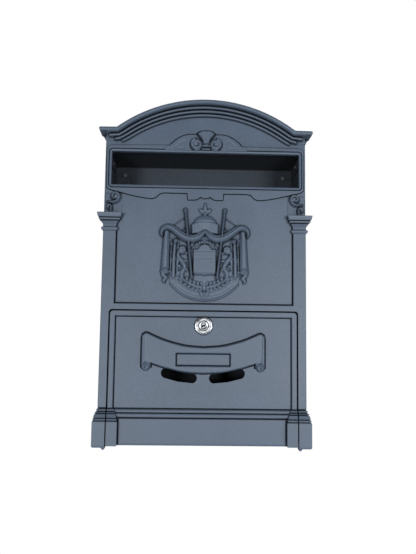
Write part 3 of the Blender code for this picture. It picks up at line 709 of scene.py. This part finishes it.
def draw_cloak(emblem):
    """The hanging cloak behind everything: its field, hem, folds and rolled columns."""
    hem = curve([(0.0, 168.4), (14.0, 170.2), (28.0, 176.4), (40.0, 187.2)], 6)
    field = hem + [(42.6, 200.0), (42.0, 243.0), (30.0, 246.0), (0.0, 250.0)]
    emblem.plateau(both_sides(field), 1.1, 1.2)
    emblem.stroke([(x, z + 1.2, 1.3) for x, z in hem[::3]], 2.1, moat=0.4)
    emblem.groove([(0.0, 174.6, 0.6), (13.0, 176.2, 0.6), (25.0, 181.6, 0.6), (33.0, 188.0, 0.4)], 0.4)
    for x, foot, radius in ((40.0, 200.0, 1.2), (36.2, 197.6, 2.3), (32.0, 199.0, 1.5)):
        emblem.stroke([(x - 1.0, 241.0, radius * 0.7), (x, 220.0, radius), (x + 0.4, foot, radius * 1.1)],
                      2.9, 0.6)
    emblem.stroke([(45.6, 251.0, 3.7), (46.2, 228.0, 4.5), (46.8, 206.0, 5.3)], 5.0)
    emblem.groove([(43.4, 248.0, 0.7), (43.2, 206.0, 0.8)], 0.8)
    emblem.dome(46.9, 203.4, 6.0, 3.6, 5.6, moat=1.6)
    emblem.groove([(42.4, 204.6, 0.6), (46.9, 201.4, 0.7), (51.6, 204.2, 0.6)], 1.4)
    emblem.stroke([(49.6, 199.4, 2.4), (45.6, 196.0, 2.8), (48.4, 192.4, 2.0), (46.0, 189.6, 0.8)], 3.4)


def draw_foliage(emblem):
    """Sprays of leaves below and above the shield, and a plant with a scrolled head beside it."""
    for i in range(7):
        t = i / 6
        x, z = 2.0 + 27.0 * t, 184.6 + 13.0 * t * t
        emblem.leaf(x, z + 2.4, 58 + 30 * t, 5.6, 1.9, 2.5)
        emblem.leaf(x, z - 1.6, -30 + 34 * t, 6.0, 1.9, 2.5)
        emblem.leaf(x, z, 14 + 54 * t, 6.8, 2.1, 3.0)
    for angle in (-90, -50, -14):
        emblem.leaf(0.6, 179.0, angle, 6.2, 1.8, 2.4)
    emblem.dome(0.0, 178.6, 2.4, 2.4, 3.8)
    for i in range(5):
        t = i / 4
        x, z = 1.5 + 15.5 * t, 244.4 - 10.6 * t * t
        emblem.leaf(x, z - 3.6, -56 - 30 * t, 4.8, 1.7, 2.6)
        emblem.leaf(x, z - 0.5, 156 - 34 * t, 5.4, 1.8, 2.8)
        emblem.leaf(x, z, -24 - 30 * t, 6.2, 2.0, 3.1)
    emblem.stroke([(30.4, 229.4, 1.9), (31.2, 222.0, 2.5), (26.4, 215.4, 3.2), (23.2, 208.6, 3.0),
                   (26.6, 202.6, 3.3), (26.4, 196.6, 2.4), (21.6, 190.6, 1.2)], 4.0)
    emblem.volute(26.6, 229.6, 4.1, 330, -1.7, 1.6, 4.9, 0.8)
    for x, z, angle, length in ((27.0, 216.0, 176, 11.0), (24.6, 208.0, -150, 7.0), (29.0, 204.6, -52, 8.0),
                                (31.0, 219.0, -78, 9.0), (28.0, 211.0, -24, 5.0), (28.6, 198.6, -98, 7.6),
                                (23.4, 226.4, 196, 5.0)):
        emblem.leaf(x, z, angle, length, 1.8, 3.0)


def draw_shield(emblem):
    """A blank shield: raised, with a furrow inside its edge and a domed head."""
    outline = [(0.0, 198.8), (2.6, 200.2), (12.2, 200.2), (13.7, 202.0), (13.7, 230.2), (8.6, 230.2)]
    outline += arc(0.0, 228.4, 8.2, 30, 90, 5)
    emblem.plateau(both_sides(outline), 3.8, 0.9, moat=1.0)
    inner = [(0.0, 202.4), (11.2, 202.8), (11.4, 227.8), (0.0, 228.0)]
    for start, end in zip(inner, inner[1:]):
        emblem.groove([(*start, 0.55), (*end, 0.55)], 0.5)
    emblem.groove([(0.0, 219.6, 0.5), (10.8, 219.6, 0.5)], 0.35)


def draw_cap(emblem):
    """A round cap with a ribbed band and a trefoil on top."""
    for angle, length in ((90, 14.0), (38, 10.0), (142, 10.0)):
        emblem.leaf(0.0, 273.0, angle, length, 2.7, 2.6)
    emblem.dome(0.0, 273.0, 2.6, 2.4, 3.2)
    emblem.dome(0.0, 260.0, 14.4, 11.6, 5.6)
    emblem.plateau(both_sides([(16.2, 248.0), (16.6, 260.2), (12.0, 262.2), (0.0, 263.0)]), 5.2, 1.4)
    for i in range(6):
        emblem.groove([(1.4 + 2.8 * i, 249.0, 0.5), (1.3 + 2.7 * i, 260.4, 0.5)], 0.5)


def draw_swag(emblem):
    """The rolled cloth across the top, two staffs over it and their cords."""
    emblem.stroke([(22.8, 269.0, 0.8), (38.0, 258.6, 0.8)], 1.6, moat=0.0)
    emblem.stroke([(21.8, 259.6, 0.8), (27.6, 251.6, 0.8)], 1.6, moat=0.0)
    roll = [(0.0, 251.0, 1.6), (4.0, 247.4, 3.2), (9.0, 244.2, 4.4), (16.8, 242.6, 4.9),
            (25.0, 245.2, 4.8), (33.0, 250.6, 4.5), (39.6, 255.2, 4.1), (45.4, 256.6, 3.7),
            (49.8, 253.6, 3.1), (51.4, 249.2, 2.3), (50.6, 245.4, 1.2)]
    emblem.stroke(roll, 8.0, moat=1.8)
    emblem.groove([(x * 0.985, z + 1.9, 1.1) for x, z, _ in roll[1:-2]], 1.6)
    emblem.dome(34.6, 240.4, 3.0, 3.0, 4.6, moat=1.8)
    emblem.groove([(34.6 + 1.7 * math.cos(a), 240.4 + 1.7 * math.sin(a), 0.5)
                   for a in np.linspace(0, 2 * math.pi, 9)], 1.0, steps=1)
    emblem.stroke([(23.4, 276.0, 1.5), (15.2, 197.6, 1.7)], 7.0, moat=1.0)
    emblem.dome(23.5, 277.0, 2.8, 3.3, 6.2, moat=1.0)
    emblem.dome(15.1, 197.0, 2.3, 2.7, 5.6, moat=1.0)


def make_emblem(coat):
    """A plain heraldic ornament of no house: a cloak, a cap, leaves and a blank shield."""
    emblem = Relief((0.0, 57.0), (166.5, 289.0), 0.5)
    draw_cloak(emblem)
    draw_foliage(emblem)
    draw_cap(emblem)
    draw_shield(emblem)
    draw_swag(emblem)
    return finish(emblem.solid("emblem_relief"), "housing", "powder_coat", coat)


# The door

RIM_WIDTH, RIM_PROUD = 6.2, 2.4
LEDGE_TOP = 43.3
LEDGES = [(-2.0, 43.3), (0.6, 43.2), (1.7, 42.6), (2.2, 41.6), (2.2, 39.8), (1.8, 39.2), (1.3, 38.9),
          (1.3, 38.6), (2.4, 38.4), (3.5, 37.6), (3.8, 36.4), (3.8, 35.2), (3.2, 34.2), (0.1, 33.8),
          (0.1, 32.5), (2.0, 32.4), (2.4, 31.8), (2.4, 4.8), (2.0, 3.2), (1.0, 2.2), (-1.0, 2.0),
          (-2.0, 2.0)]
RECESS_EDGE = ((0.0, 0.0), (1.6, 0.0), (2.1, 0.3), (2.5, 1.0), (9.0, 1.0))
BANNER_FURROW = groove_section(0.9, -1.4, 1.0)
FOOT_FURROW = [(-0.6, 0.8), (0.6, 0.8), (0.6, 3.0), (-0.6, 3.0)]
SIDE_FURROW = groove_section(0.9, 0.2, 3.4)
FOOT_X, FOOT_FURROW_X = 102.8, 96.9
VIEW_SLOT_RADIUS = 6.0
VIEW_SLOT_LINE = ((13.0, 78.8), (28.0, 80.6), (43.0, 84.4))
LABEL_HALF, LABEL_LOW, LABEL_HIGH = 32.0, 92.5, 107.8
LABEL_FACE, LABEL_EDGE, LABEL_SUNK = 2.6, 1.2, 1.3


def view_slot(sign):
    """The outline of one slot for looking in: round ended and rising outwards."""
    near, middle, far = VIEW_SLOT_LINE
    line = arc(*near, VIEW_SLOT_RADIUS, 100, 260, 14)
    line += [(middle[0] + 1.2, middle[1] - VIEW_SLOT_RADIUS)]
    line += arc(*far, VIEW_SLOT_RADIUS, -75, 105, 14)
    line += [(middle[0] - 1.2, middle[1] + VIEW_SLOT_RADIUS)]
    return [(sign * x, z) for x, z in line]


def door_foot(side, sign):
    """The door's half of the plinth, whose mouldings turn in towards the recess."""
    path = [(FOOT_X, -2.0), (FOOT_X, PILASTER_PROUD), (DOOR_HALF - 0.05, PILASTER_PROUD)]
    profile = [(out, max(up, DOOR_LOW)) for out, up in PLINTH]
    return sweep(f"foot_{side}", path, profile[:-2] + [(2.6, DOOR_LOW), (-3.0, DOOR_LOW)], "plan", sign)


def foot_furrows(side, sign):
    """Cutters for the furrows over and beside the door's half of the plinth."""
    near, far = sign * FOOT_FURROW_X, sign * (DOOR_HALF + 2.0)
    over, top = 44.0, 32.0
    return [sweep(f"furrow_over_{side}", [(near, over), (far, over)], FOOT_FURROW, "front"),
            sweep(f"furrow_beside_{side}", [(near, 0.0), (near, top)], SIDE_FURROW, "front")]


def door_recess():
    """Cutters for the door's sunk face and for the furrow round it."""
    half, high = DOOR_HALF - RIM_WIDTH, DOOR_HIGH - RIM_WIDTH
    sunk = rectangle(half, -8.0, high)
    rings = [[(x, level, z) for x, z in grown(sunk, wider)] for level, wider in RECESS_EDGE]
    inner = rectangle(half - FURROW_HALF, LEDGE_TOP + FURROW_HALF, high - FURROW_HALF)
    return [loft("recess", rings), sweep("recess_furrow", inner, FURROW, "front", looped=True)]


def banner_outline():
    """The ribbon's outline: hollow above, level ends."""
    top = curve([(0.0, 114.2), (22.0, 116.2), (44.0, 121.8), (58.0, 127.4), (64.5, 130.4)], 6)
    low = curve([(0.0, 84.6), (22.0, 86.1), (44.0, 90.7), (61.0, 96.0)], 6)
    end = [(67.5, 131.0), (70.6, 129.0), (71.6, 125.0), (71.6, 92.0), (61.0, 92.0)]
    return both_sides(low + end[::-1] + top[::-1])


def make_door_casting(coat):
    outline = rounded_top(DOOR_HALF, DOOR_LOW, DOOR_HIGH, DOOR_CORNER)
    door = combine(pad("door_casting", outline, -CAST, RIM_PROUD, 0.7), door_recess(), "DIFFERENCE")
    reach = DOOR_HALF - RIM_WIDTH + 0.3
    added = [sweep("ledges", [(-reach, 0.0), (reach, 0.0)], LEDGES, "plan")]
    collar = [(0.0, -1.0), (11.2, -1.0), (11.2, 0.2), (10.6, 0.5), (0.0, 0.5)]
    added.append(turned("lock_collar", LOCK, collar, 64))
    for side, sign in SIDES:
        added.append(door_foot(side, sign))
    combine(door, added, "UNION")
    removed = [drill("lock_hole", LOCK, 8.3, -20.0, 20.0, 64), drill("lock_seat", LOCK, 10.9, 0.28, 5.0, 64),
               sweep("banner_furrow", grown(banner_outline(), TRENCH_WIDTH), BANNER_FURROW, "front",
                     looped=True)]
    for side, sign in SIDES:
        removed.append(cutter(f"view_{side}", view_slot(sign), -CUT_FRONT))
        removed += foot_furrows(side, sign)
        removed.append(drill(f"door_bore_{side}", HINGE, BORE_RADIUS, sign * 103.7, sign * 115.0, 20, "x"))
    combine(door, removed, "DIFFERENCE")
    return finish(shade(without_specks(door)), "door", "powder_coat", coat, "door")


def make_banner(coat):
    """The ribbon above the slots, hollow above, with rolled ends and a sunk label field."""
    banner = Relief((0.0, 75.0), (83.0, 133.5), 0.5)
    banner.plateau(banner_outline(), 4.4, 0.8)
    banner.stroke([(70.0, 127.0, 1.8), (70.0, 108.0, 1.9), (69.6, 91.0, 2.2)], 5.2, 2.6, moat=0.0)
    banner.groove([(67.4, 126.0, 0.5), (67.2, 94.0, 0.5)], 0.5)
    banner.volute(66.2, 91.6, 3.5, 30, -1.3, 1.5, 5.8)
    label = np.minimum(LABEL_HALF - banner.x, np.minimum(banner.z - LABEL_LOW, LABEL_HIGH - banner.z))
    grain = np.random.default_rng(3).normal(0.0, 0.06, banner.h.shape)
    floor = LABEL_FACE + grain - LABEL_SUNK * (label < LABEL_EDGE)
    banner.h = np.where(label > 0, floor, banner.h)
    for sign in (1.0, -1.0):
        banner.h = np.where(banner.inside(view_slot(sign)) > -0.2, SUNK, banner.h)
    return finish(banner.solid("banner_relief"), "door", "powder_coat", coat)


# Hardware

def make_lock(chrome):
    """The chromed cam lock: a stepped flange, and a plug with a tilted keyway."""
    body = [(5.9, 2.6), (6.0, 3.0), (6.3, 3.2), (8.2, 3.2), (8.6, 3.0), (8.8, 2.6), (9.2, 2.5), (9.9, 2.3),
            (10.25, 1.8), (10.3, 1.2), (10.3, 0.3), (8.0, 0.3), (8.0, -16.0), (5.9, -16.0)]
    flange = turned("lock_flange", LOCK, body, 96)
    finish(shade(flange), "door", "chrome", chrome, "lock_body")
    core = [(0.0, 2.3), (2.6, 2.3), (2.9, 2.1), (3.2, 2.3), (4.6, 2.6), (5.2, 2.6), (5.6, 2.3),
            (5.6, -16.2), (3.0, -16.2), (3.0, -18.4), (0.0, -18.4)]
    plug = turned("lock_core_plug", LOCK, core, 96)
    tilt = math.radians(35.0)
    along = Vector((math.cos(tilt), math.sin(tilt)))
    across = Vector((-along.y, along.x))
    slot = [(-2.6, -0.8), (0.2, -0.8), (0.2, -1.5), (1.4, -1.5), (1.4, -0.8), (2.6, -0.8), (2.6, 0.8),
            (-0.4, 0.8), (-0.4, 1.4), (-1.6, 1.4), (-1.6, 0.8), (-2.6, 0.8)]
    corners = [along * a + across * b for a, b in slot]
    combine(plug, [cutter("keyway", [(c.x, LOCK[2] + c.y) for c in corners], -6.0, 9.0)], "DIFFERENCE")
    finish(shade(plug), "lock_core", "chrome", chrome, "lock_plug")


# Finishes

# Painted shade: where a finish is darkened in place of shade, how near other surfaces count, in metres, and
# its colour by openness.
CREVICE_SHADE = (0.0020, ((0.58, (0.01, 0.01, 0.02)), (0.88, 1.0)))
HOLLOW_SHADE = (0.012, ((0.30, (0.36, 0.36, 0.39)), (0.80, 1.0)))
INSIDE_SHADE = (0.25, ((0.0, (0.07, 0.07, 0.08)), (0.46, 1.0)))
# Roughness that a finish takes where it is closed in, dulling its sheen there.
CLOSED_IN_ROUGHNESS = 0.95


def new_material(name):
    """A fresh material, its node tree and its shader."""
    material = bpy.data.materials.new(name)
    material.use_nodes = True
    tree = material.node_tree
    return material, tree, tree.nodes["Principled BSDF"]


def noise(tree, scale, detail):
    """The levels of a noise texture fixed to the piece."""
    place = tree.nodes.new("ShaderNodeTexCoord")
    texture = tree.nodes.new("ShaderNodeTexNoise")
    texture.inputs["Scale"].default_value = scale
    texture.inputs["Detail"].default_value = detail
    tree.links.new(place.outputs["Object"], texture.inputs["Vector"])
    return texture.outputs["Fac"]


def ramp(tree, value, stops):
    """A colour ramp of stops, each a position and a colour or the level of a grey."""
    made = tree.nodes.new("ShaderNodeValToRGB")
    elements = made.color_ramp.elements
    while len(elements) < len(stops):
        elements.new(0.5)
    for element, (position, color) in zip(elements, stops):
        element.position = position
        element.color = (*np.broadcast_to(color, 3), 1.0)
    tree.links.new(value, made.inputs["Fac"])
    return made.outputs["Color"]


def multiply(tree, one, two):
    """One colour darkened by another."""
    made = tree.nodes.new("ShaderNodeMix")
    made.data_type = "RGBA"
    made.blend_type = "MULTIPLY"
    made.inputs["Factor"].default_value = 1.0
    tree.links.new(one, made.inputs["A"])
    tree.links.new(two, made.inputs["B"])
    return made.outputs["Result"]


def bump(tree, heights, shader):
    """Bump from (texture output, strength, distance in metres) layers, one on another."""
    previous = None
    for height, strength, distance in heights:
        made = tree.nodes.new("ShaderNodeBump")
        made.inputs["Strength"].default_value = strength
        made.inputs["Distance"].default_value = distance
        tree.links.new(height, made.inputs["Height"])
        if previous:
            tree.links.new(previous, made.inputs["Normal"])
        previous = made.outputs["Normal"]
    tree.links.new(previous, shader.inputs["Normal"])


def paint_hollow_shade(tree, color, sheen, shadows):
    """Paint shade into a colour where it is closed in, and dull its sheen there, by (reach, ramp stops)
    layers.
    """
    openness = None
    for reach, stops in shadows:
        hollow = tree.nodes.new("ShaderNodeAmbientOcclusion")
        hollow.samples = 8
        hollow.inputs["Distance"].default_value = reach
        layer = ramp(tree, hollow.outputs["AO"], stops)
        openness = multiply(tree, openness, layer) if openness else layer
    dull = tree.nodes.new("ShaderNodeMix")
    dull.inputs["A"].default_value = CLOSED_IN_ROUGHNESS
    tree.links.new(openness, dull.inputs["Factor"])
    tree.links.new(sheen, dull.inputs["B"])
    # The colour multiplied by openness is painted shade.
    return multiply(tree, color, openness), dull.outputs["Result"]


def painted(name, dark, light, roughness, grain, shadows):
    """Baked paint: a fine grain, faint clouding, and painted shade where it is closed in."""
    material, tree, shader = new_material(name)
    fine = noise(tree, 1500.0, 3.0)
    cloud = noise(tree, 22.0, 4.0)
    speck = noise(tree, 640.0, 2.0)
    color = ramp(tree, cloud, ((0.3, dark), (0.7, light)))
    color = multiply(tree, color, ramp(tree, speck, ((0.3, 0.86), (0.62, 1.0))))
    sheen = ramp(tree, cloud, ((0.2, roughness - 0.04), (0.8, roughness + 0.05)))
    # Painted shade darkens the colour where the paint is closed in, and its sheen is dulled there.
    color, sheen = paint_hollow_shade(tree, color, sheen, shadows)
    tree.links.new(sheen, shader.inputs["Roughness"])
    tree.links.new(color, shader.inputs["Base Color"])
    bump(tree, ((speck, grain * 0.6, 0.0002), (fine, grain, 0.0001)), shader)
    return material


def plated(name, dark, light, roughness, scratch, shadows):
    """Bright plated metal with a little clouding and fine scratches."""
    material, tree, shader = new_material(name)
    shader.inputs["Metallic"].default_value = 1.0
    cloud = noise(tree, 260.0, 3.0)
    fine = noise(tree, 2600.0, 2.0)
    color = ramp(tree, cloud, ((0.3, dark), (0.7, light)))
    sheen = ramp(tree, cloud, ((0.3, roughness * 0.7), (0.75, roughness * 1.4)))
    # Painted shade darkens the metal's colour where it is closed in, and its sheen is dulled there.
    color, sheen = paint_hollow_shade(tree, color, sheen, shadows)
    tree.links.new(color, shader.inputs["Base Color"])
    tree.links.new(sheen, shader.inputs["Roughness"])
    bump(tree, ((fine, scratch, 0.00005),), shader)
    return material


def moulded_nylon():
    """Plain black moulded plastic."""
    material, tree, shader = new_material("moulded_nylon")
    cloud = noise(tree, 300.0, 2.0)
    tree.links.new(ramp(tree, cloud, ((0.3, 0.020), (0.7, 0.032))), shader.inputs["Base Color"])
    tree.links.new(ramp(tree, cloud, ((0.3, 0.42), (0.7, 0.52))), shader.inputs["Roughness"])
    bump(tree, ((cloud, 0.1, 0.0001),), shader)
    return material


def repaint_nodes(finishes):
    """The CAD nodes that stay get the finish of their slot."""
    for node in frame["nodes"].values():
        for slot in node.material_slots:
            slot.material = finishes[slot.material.name.split(".")[0]]


# Stage

# Each square light's place, the length of its side and its power.
LIGHTS = {"key_light": ((-1.20, -3.30, -0.30), 0.60, 48.5),
          "fill_light": ((0.60, -1.5, -0.05), 0.4, 11.2),
          "back_light": ((0.5, 1.2, 0.7), 0.8, 13.0),
          "overhead_light": ((0.0, 0.5, 1.5), 0.9, 7.0),
          "right_light": ((1.6, 0.6, 0.2), 0.6, 4.0),
          "left_light": ((-1.6, 0.6, 0.2), 0.6, 3.0)}
STAGE_RADIUS, STAGE_FORWARD, STAGE_DROP = 0.62, 0.05, 0.36
STAGE_GLOW, AMBIENT = 0.22, 0.05


def softbox(name, location, side, power, target):
    """A square light that faces the target."""
    light = bpy.data.lights.new(name, "AREA")
    light.size = side
    light.energy = power
    lamp = new_object(name, light)
    lamp.location = location
    lamp.rotation_euler = (target - lamp.location).to_track_quat("-Z", "Y").to_euler()


def make_stage():
    """A pale round floor below the object, and the lights round it."""
    middle = (CAD_BOX[0] + CAD_BOX[1]) / 2
    bm = bmesh.new()
    bmesh.ops.create_circle(bm, cap_ends=True, segments=64, radius=STAGE_RADIUS)
    floor = new_piece("floor", bm)
    floor.location = (middle.x, middle.y - STAGE_FORWARD, CAD_BOX[0].z - STAGE_DROP)
    material, tree, shader = new_material("floor_paint")
    cloud = noise(tree, 6.0, 2.0)
    tree.links.new(ramp(tree, cloud, ((0.3, 0.80), (0.7, 0.84))), shader.inputs["Base Color"])
    shader.inputs["Roughness"].default_value = 0.8
    shader.inputs["Emission Strength"].default_value = STAGE_GLOW
    floor.data.materials.append(material)
    for name, light in LIGHTS.items():
        softbox(name, *light, middle)


def make_world():
    """White all round for the camera, and a much dimmer light from it on the object."""
    studio = bpy.data.worlds.new("studio")
    studio.use_nodes = True
    tree = studio.node_tree
    background = tree.nodes["Background"]
    seen = tree.nodes.new("ShaderNodeLightPath")
    strength = tree.nodes.new("ShaderNodeMapRange")
    strength.inputs["To Min"].default_value = AMBIENT
    strength.inputs["To Max"].default_value = 1.0
    tree.links.new(seen.outputs["Is Camera Ray"], strength.inputs["Value"])
    tree.links.new(strength.outputs["Result"], background.inputs["Strength"])
    background.inputs["Color"].default_value = (1.0, 1.0, 1.0, 1.0)
    bpy.context.scene.world = studio
    bpy.context.scene.view_settings.view_transform = "Standard"


def make_camera():
    """A camera a little below the object's middle, looking slightly up at it."""
    camera = bpy.data.cameras.new("camera")
    camera.sensor_width = 36.0
    camera.lens = 39.64
    view = new_object("camera", camera)
    place = (-0.016136, -0.799848, -0.058720)
    right = Vector((0.99947, -0.03003, 0.01286))
    up = Vector((-0.01599, -0.10635, 0.99420))
    up = (up - right * up.dot(right)).normalized()
    turn = Matrix((right, up, right.cross(up))).transposed().to_4x4()
    view.matrix_world = Matrix.Translation(place) @ turn
    bpy.context.scene.camera = view


def build():
    # The shadows of each finish paint shade into its colour: into creases, under overhangs and inside the
    # housing.
    coat = painted("cast_powder_coat", dark=(0.092, 0.130, 0.190), light=(0.106, 0.149, 0.216),
                   roughness=0.46, grain=0.45, shadows=(CREVICE_SHADE, HOLLOW_SHADE))
    sheet = painted("sheet_enamel", dark=(0.062, 0.084, 0.116), light=(0.072, 0.097, 0.132),
                    roughness=0.60, grain=0.25, shadows=(CREVICE_SHADE, INSIDE_SHADE))
    zinc = plated("zinc_plate", dark=(0.34, 0.35, 0.36), light=(0.48, 0.49, 0.50),
                  roughness=0.4, scratch=0.25, shadows=(INSIDE_SHADE,))
    chrome = plated("bright_chrome", dark=(0.48, 0.51, 0.54), light=(0.67, 0.70, 0.74),
                    roughness=0.3, scratch=0.08, shadows=(CREVICE_SHADE,))
    finishes = {"powder_coat": coat, "sheet_paint": sheet, "zinc_steel": zinc, "chrome": chrome,
                "nylon": moulded_nylon()}
    make_camera()
    make_world()
    make_stage()
    repaint_nodes(finishes)
    make_front_casting(coat)
    make_crest(coat)
    make_emblem(coat)
    for side, sign in SIDES:
        make_console(side, sign, coat)
    make_door_casting(coat)
    make_banner(coat)
    make_lock(chrome)


build()
